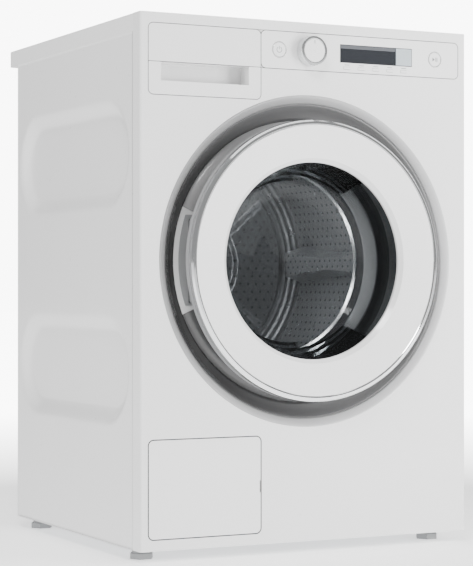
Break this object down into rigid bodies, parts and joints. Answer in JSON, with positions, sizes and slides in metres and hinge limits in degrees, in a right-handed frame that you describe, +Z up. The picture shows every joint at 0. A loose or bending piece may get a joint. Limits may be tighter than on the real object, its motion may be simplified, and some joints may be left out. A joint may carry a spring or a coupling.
{
  "type": "front-loading washing machine",
  "caption": "White front-loading washing machine with a round glass door, detergent drawer, control strip, service hatch and sprung tub.",
  "frame": {"origin": "centre of the bounding box in plan, at the floor under the feet", "axes": "+Z up, the door and controls face -Y, +X to the right seen from the front"},
  "size_m": [0.595, 0.607, 0.85],
  "materials": {
    "white_enamel": "gloss",
    "galvanised": "satin",
    "white_laminate": "satin",
    "white_plastic": "gloss",
    "satin_metal": "satin",
    "chrome_trim": "polished",
    "door_glass": "polished",
    "stainless": "satin",
    "plain_steel": "satin",
    "black_plastic": "matte",
    "grey_plastic": "matte",
    "display": "gloss",
    "circuit": "satin",
    "grey_rubber": "matte",
    "black_rubber": "matte",
    "iron": "matte",
    "cast_alu": "cast"
  },
  "bodies": {
    "cabinet": {"front_panel": "white_enamel", "left_side_panel": "white_enamel", "right_side_panel": "white_enamel", "rear_panel": "galvanised", "base_pan": "galvanised", "worktop": "white_laminate", "control_panel": "white_plastic", "display_window": "display", "control_board": "circuit", "dispenser_housing": "grey_plastic", "inlet_valves": "grey_plastic", "cord_gland": "black_plastic", "door_hinge_plate": "plain_steel", "door_lock": "black_plastic", "door_seal": "grey_rubber", "drain_pump": "black_plastic", "damper_cylinders": "grey_plastic", "suspension_springs": "plain_steel", "foot_lock_nuts": "plain_steel", "sump_hose": "black_rubber", "drain_hose": "grey_rubber", "cabinet_screws": "plain_steel", "levelling_feet": "grey_plastic"},
    "tub": {"tub_shell": "grey_plastic", "tub_front": "grey_plastic", "bearing_housing": "cast_alu", "main_bearings": "plain_steel", "counterweights": "iron", "motor_housing": "cast_alu", "drive_belt": "black_rubber", "heater_element": "plain_steel", "damper_rods": "plain_steel"},
    "drum": {"drum_shell": "stainless", "drum_front_ring": "stainless", "drum_back": "stainless", "drum_lifters": "stainless", "drum_spider": "cast_alu", "drum_shaft": "plain_steel", "drum_pulley": "cast_alu"},
    "motor": {"motor_rotor": "plain_steel"},
    "filter": {"pump_filter": "grey_plastic"},
    "door": {"door_front_ring": "white_plastic", "door_trim_ring": "chrome_trim", "door_glass": "door_glass", "door_back_frame": "grey_plastic", "door_hinge_arms": "plain_steel", "door_latch_hook": "plain_steel"},
    "drawer": {"drawer_fascia": "white_plastic", "drawer_front": "white_plastic", "drawer_tray": "grey_plastic"},
    "hatch": {"service_hatch": "white_plastic"},
    "knob": {"knob_body": "satin_metal", "knob_cap": "white_plastic"},
    "power": {"power_button": "white_plastic"},
    "start": {"start_button": "white_plastic"},
    "key_1": {"option_key_1": "white_plastic"},
    "key_2": {"option_key_2": "white_plastic"},
    "key_3": {"option_key_3": "white_plastic"},
    "key_4": {"option_key_4": "white_plastic"},
    "key_5": {"option_key_5": "white_plastic"}
  },
  "joints": [
    {"name": "door_swing", "type": "hinge", "parent": "cabinet", "child": "door", "pos_m": [-0.255, -0.2465, 0.468], "axis": [0, 0, -1], "range_deg": [0, 90]},
    {"name": "drawer_slide", "type": "slide", "parent": "cabinet", "child": "drawer", "axis": [0, -1, 0], "range_m": [0, 0.22]},
    {"name": "hatch_swing", "type": "hinge", "parent": "cabinet", "child": "hatch", "pos_m": [-0.27, -0.2675, 0.1136], "axis": [0, 0, -1], "range_deg": [0, 100]},
    {"name": "programme_turn", "type": "hinge", "parent": "cabinet", "child": "knob", "pos_m": [0, -0.2725, 0.804], "axis": [0, -1, 0], "continuous": true},
    {"name": "tub_travel", "type": "slide", "parent": "cabinet", "child": "tub", "axis": [0, 0, 1], "range_m": [-0.01, 0.01], "stiffness_N_per_m": 20000, "springref_m": 0.02306, "deforming": ["door_seal", "suspension_springs", "sump_hose"]},
    {"name": "drum_spin", "type": "hinge", "parent": "tub", "child": "drum", "pos_m": [0, 0.0275, 0.468], "axis": [0, 1, 0], "continuous": true},
    {"name": "motor_spin", "type": "hinge", "parent": "tub", "child": "motor", "pos_m": [0.11, 0.1275, 0.168], "axis": [0, 1, 0], "continuous": true},
    {"name": "filter_turn", "type": "hinge", "parent": "cabinet", "child": "filter", "pos_m": [-0.186, -0.2425, 0.11], "axis": [0, -1, 0], "range_deg": [0, 270]},
    {"name": "power_press", "type": "slide", "parent": "cabinet", "child": "power", "axis": [0, 1, 0], "range_m": [0, 0.0015], "stiffness_N_per_m": 1200, "springref_m": -0.0005},
    {"name": "start_press", "type": "slide", "parent": "cabinet", "child": "start", "axis": [0, 1, 0], "range_m": [0, 0.0015], "stiffness_N_per_m": 1200, "springref_m": -0.0005},
    {"name": "key_1_press", "type": "slide", "parent": "cabinet", "child": "key_1", "axis": [0, 1, 0], "range_m": [0, 0.001], "stiffness_N_per_m": 900, "springref_m": -0.0005},
    {"name": "key_2_press", "type": "slide", "parent": "cabinet", "child": "key_2", "axis": [0, 1, 0], "range_m": [0, 0.001], "stiffness_N_per_m": 900, "springref_m": -0.0005},
    {"name": "key_3_press", "type": "slide", "parent": "cabinet", "child": "key_3", "axis": [0, 1, 0], "range_m": [0, 0.001], "stiffness_N_per_m": 900, "springref_m": -0.0005},
    {"name": "key_4_press", "type": "slide", "parent": "cabinet", "child": "key_4", "axis": [0, 1, 0], "range_m": [0, 0.001], "stiffness_N_per_m": 900, "springref_m": -0.0005},
    {"name": "key_5_press", "type": "slide", "parent": "cabinet", "child": "key_5", "axis": [0, 1, 0], "range_m": [0, 0.001], "stiffness_N_per_m": 900, "springref_m": -0.0005}
  ],
  "couplings": [
    {"joint": "motor_spin", "follows": "drum_spin", "ratio": 13.92}
  ]
}
